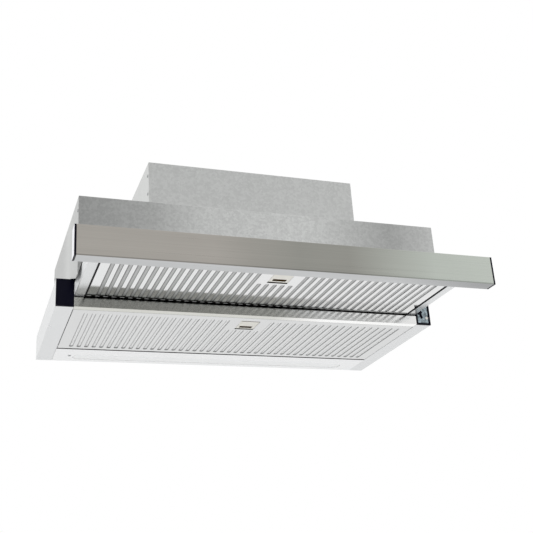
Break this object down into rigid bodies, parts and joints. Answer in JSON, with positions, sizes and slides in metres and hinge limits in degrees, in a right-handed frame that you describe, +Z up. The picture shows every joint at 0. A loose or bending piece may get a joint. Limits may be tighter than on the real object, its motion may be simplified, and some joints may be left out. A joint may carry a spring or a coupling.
{
  "type": "pull-out range hood",
  "caption": "Built-in range hood with a pull-out drawer, two slotted grease filters, a light strip, a stepped steel housing and a round air outlet on top.",
  "frame": {"origin": "under the middle of the box, in the plane of the lowest edge, which is the fascia's bottom", "axes": "+X to the right along the fascia, +Y to the back, +Z up"},
  "size_m": [0.598, 0.4638, 0.2547],
  "materials": {
    "fascia_steel": "brushed",
    "galvanised": "galvanised sheet",
    "painted_sheet": "silver grey paint",
    "grille_steel": "satin",
    "aluminium_mesh": "expanded mesh",
    "black_plastic": "gloss",
    "grey_plastic": "matte",
    "white_plastic": "matte",
    "opal_plastic": "opal",
    "board_green": "circuit board",
    "zinc_steel": "zinc plated"
  },
  "bodies": {
    "frame": {"side_rail_left": "painted_sheet", "side_rail_right": "painted_sheet", "end_cap_left": "black_plastic", "end_cap_right": "black_plastic", "front_rail": "fascia_steel", "light_panel": "painted_sheet", "light_diffuser": "opal_plastic", "lamp_housing": "galvanised", "led_board": "white_plastic", "led_driver": "white_plastic", "light_screw": "zinc_steel", "rear_deck": "galvanised", "body_front": "galvanised", "body_side_left": "galvanised", "body_side_right": "galvanised", "body_back": "galvanised", "body_top": "galvanised", "upper_front": "galvanised", "upper_side_left": "galvanised", "upper_side_right": "galvanised", "upper_back": "galvanised", "upper_top": "galvanised", "outlet_spigot": "black_plastic", "scroll_left": "grey_plastic", "scroll_right": "grey_plastic", "fan_motor": "zinc_steel", "motor_bracket": "zinc_steel", "control_box": "grey_plastic", "control_cover": "grey_plastic", "circuit_board": "board_green", "capacitor": "white_plastic", "cable_gland": "black_plastic", "slide_outer_left": "zinc_steel", "slide_outer_right": "zinc_steel"},
    "middle_left": {"slide_middle_left": "zinc_steel"},
    "middle_right": {"slide_middle_right": "zinc_steel"},
    "drawer": {"slide_inner_left": "zinc_steel", "slide_inner_right": "zinc_steel", "drawer_side_left": "painted_sheet", "drawer_side_right": "painted_sheet", "drawer_front": "painted_sheet", "drawer_top": "galvanised", "drawer_rear_bar": "galvanised", "fascia": "fascia_steel", "fascia_cap_left": "black_plastic", "fascia_cap_right": "black_plastic", "fascia_bracket_left": "zinc_steel", "fascia_bracket_right": "zinc_steel"},
    "upper_filter": {"upper_grille": "grille_steel", "upper_mesh": "aluminium_mesh"},
    "upper_latch": {"upper_latch": "white_plastic"},
    "lower_filter": {"lower_grille": "grille_steel", "lower_mesh": "aluminium_mesh"},
    "lower_latch": {"lower_latch": "white_plastic"},
    "fan_wheel": {"impeller": "grey_plastic"},
    "back_flap": {"flap_back": "grey_plastic"},
    "front_flap": {"flap_front": "grey_plastic"},
    "button": {"speed_button": "white_plastic"},
    "lever": {"control_lever": "black_plastic"}
  },
  "joints": [
    {"name": "drawer_slide", "type": "slide", "parent": "frame", "child": "drawer", "axis": [0, -1, 0], "range_m": [-0.0975, 0]},
    {"name": "middle_left_slide", "type": "slide", "parent": "frame", "child": "middle_left", "axis": [0, -1, 0], "range_m": [-0.04875, 0]},
    {"name": "middle_right_slide", "type": "slide", "parent": "frame", "child": "middle_right", "axis": [0, -1, 0], "range_m": [-0.04875, 0]},
    {"name": "upper_filter_hinge", "type": "hinge", "parent": "drawer", "child": "upper_filter", "pos_m": [0, -0.0451, 0.0225], "axis": [1, 0, 0], "range_deg": [0, 75]},
    {"name": "upper_latch_slide", "type": "slide", "parent": "upper_filter", "child": "upper_latch", "axis": [0, 1, 0], "range_m": [0, 0.004], "stiffness_N_per_m": 300},
    {"name": "lower_filter_hinge", "type": "hinge", "parent": "frame", "child": "lower_filter", "pos_m": [0, 0.1592, 0.006], "axis": [1, 0, 0], "range_deg": [0, 75]},
    {"name": "lower_latch_slide", "type": "slide", "parent": "lower_filter", "child": "lower_latch", "axis": [0, 1, 0], "range_m": [0, 0.004], "stiffness_N_per_m": 300},
    {"name": "fan_spin", "type": "hinge", "parent": "frame", "child": "fan_wheel", "pos_m": [0, 0.0194, 0.14], "axis": [1, 0, 0], "continuous": true},
    {"name": "back_flap_hinge", "type": "hinge", "parent": "frame", "child": "back_flap", "pos_m": [0, 0.0579, 0.2391], "axis": [1, 0, 0], "range_deg": [0, 75]},
    {"name": "front_flap_hinge", "type": "hinge", "parent": "frame", "child": "front_flap", "pos_m": [0, 0.0459, 0.2391], "axis": [-1, 0, 0], "range_deg": [0, 75]},
    {"name": "button_press", "type": "slide", "parent": "frame", "child": "button", "axis": [0, 1, 0], "range_m": [0, 0.0015], "stiffness_N_per_m": 400},
    {"name": "lever_turn", "type": "hinge", "parent": "frame", "child": "lever", "pos_m": [0.281, -0.0401, 0.02265], "axis": [0, -1, 0], "range_deg": [0, 30]}
  ],
  "couplings": [
    {"joint": "middle_left_slide", "follows": "drawer_slide", "ratio": 0.5},
    {"joint": "middle_right_slide", "follows": "drawer_slide", "ratio": 0.5}
  ]
}
